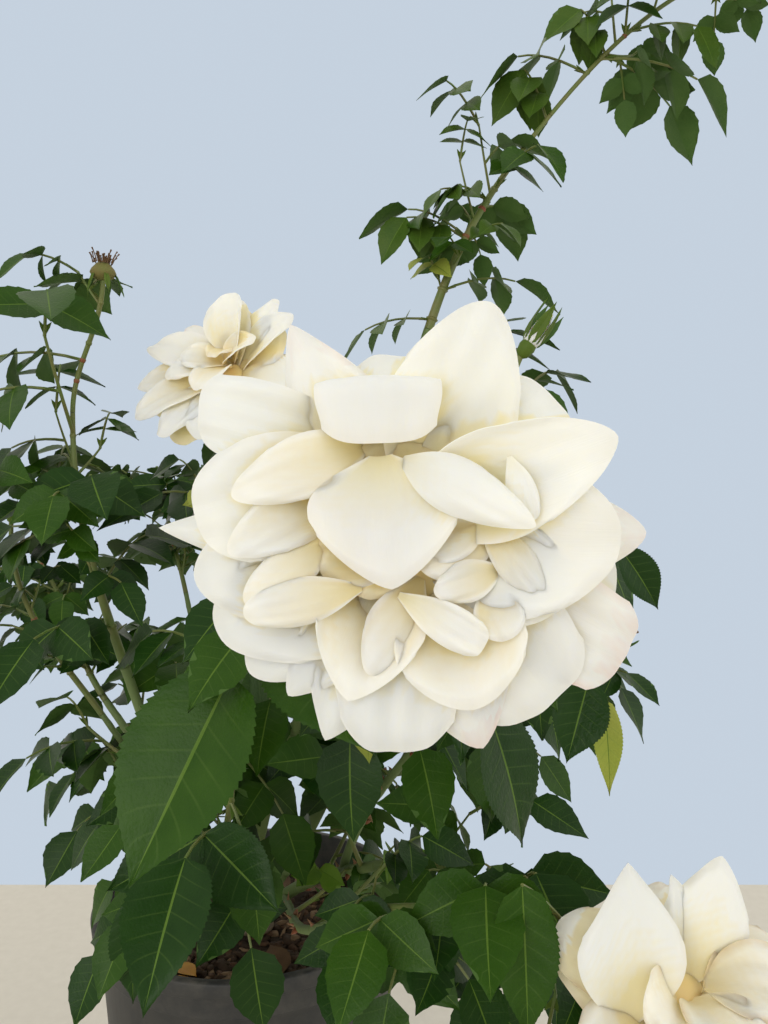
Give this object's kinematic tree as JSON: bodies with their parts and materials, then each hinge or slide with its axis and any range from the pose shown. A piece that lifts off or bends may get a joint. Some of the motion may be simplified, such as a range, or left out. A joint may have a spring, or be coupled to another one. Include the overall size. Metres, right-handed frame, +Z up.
{
  "type": "rose bush in a nursery pot",
  "caption": "Flowering white rose bush with one long arching cane, rooted in a tapered black nursery pot that it stands in.",
  "frame": {"origin": "centre of the pot's flat underside", "axes": "+Z up, -Y towards the side that the large bloom faces, +X towards the side that the arching cane reaches"},
  "size_m": [0.6829, 0.6453, 0.9409],
  "materials": {
    "pot": "dark grey moulded plastic, matt, a little dusty",
    "soil": "dark damp bark compost",
    "old_bark": "rough grey-brown bark",
    "cane_bark": "smooth green bark that browns towards its foot",
    "leaf": "dark green leaves with a soft sheen and paler undersides",
    "petal": "satin creamy white petals, warmer in their depths"
  },
  "bodies": {
    "root": {"pot": "pot", "soil": "soil", "graft_union": "old_bark", "front_cane": "cane_bark", "arch_cane": "cane_bark", "left_cane": "cane_bark", "rear_cane": "cane_bark", "flank_cane": "cane_bark", "right_cane": "cane_bark", "middle_bough": "cane_bark", "low_front_bough": "cane_bark", "low_right_bough": "cane_bark", "bud_bough": "cane_bark", "outer_left_bough": "cane_bark", "rear_right_bough": "cane_bark", "side_right_bough": "cane_bark", "rear_left_bough": "cane_bark", "front_spray": "leaf", "low_front_spray": "leaf", "right_spray": "leaf", "middle_spray": "leaf", "arch_spray_low": "leaf", "arch_spray_high": "leaf", "left_spray_low": "leaf", "left_spray_top": "leaf", "low_right_spray": "leaf", "bud_spray": "leaf", "outer_left_spray": "leaf", "rear_spray": "leaf", "flank_spray": "leaf", "rear_right_spray": "leaf", "side_right_spray": "leaf", "rear_left_spray": "leaf", "front_bloom": "petal", "left_bloom": "petal", "fading_bloom": "petal"}
  },
  "joints": []
}
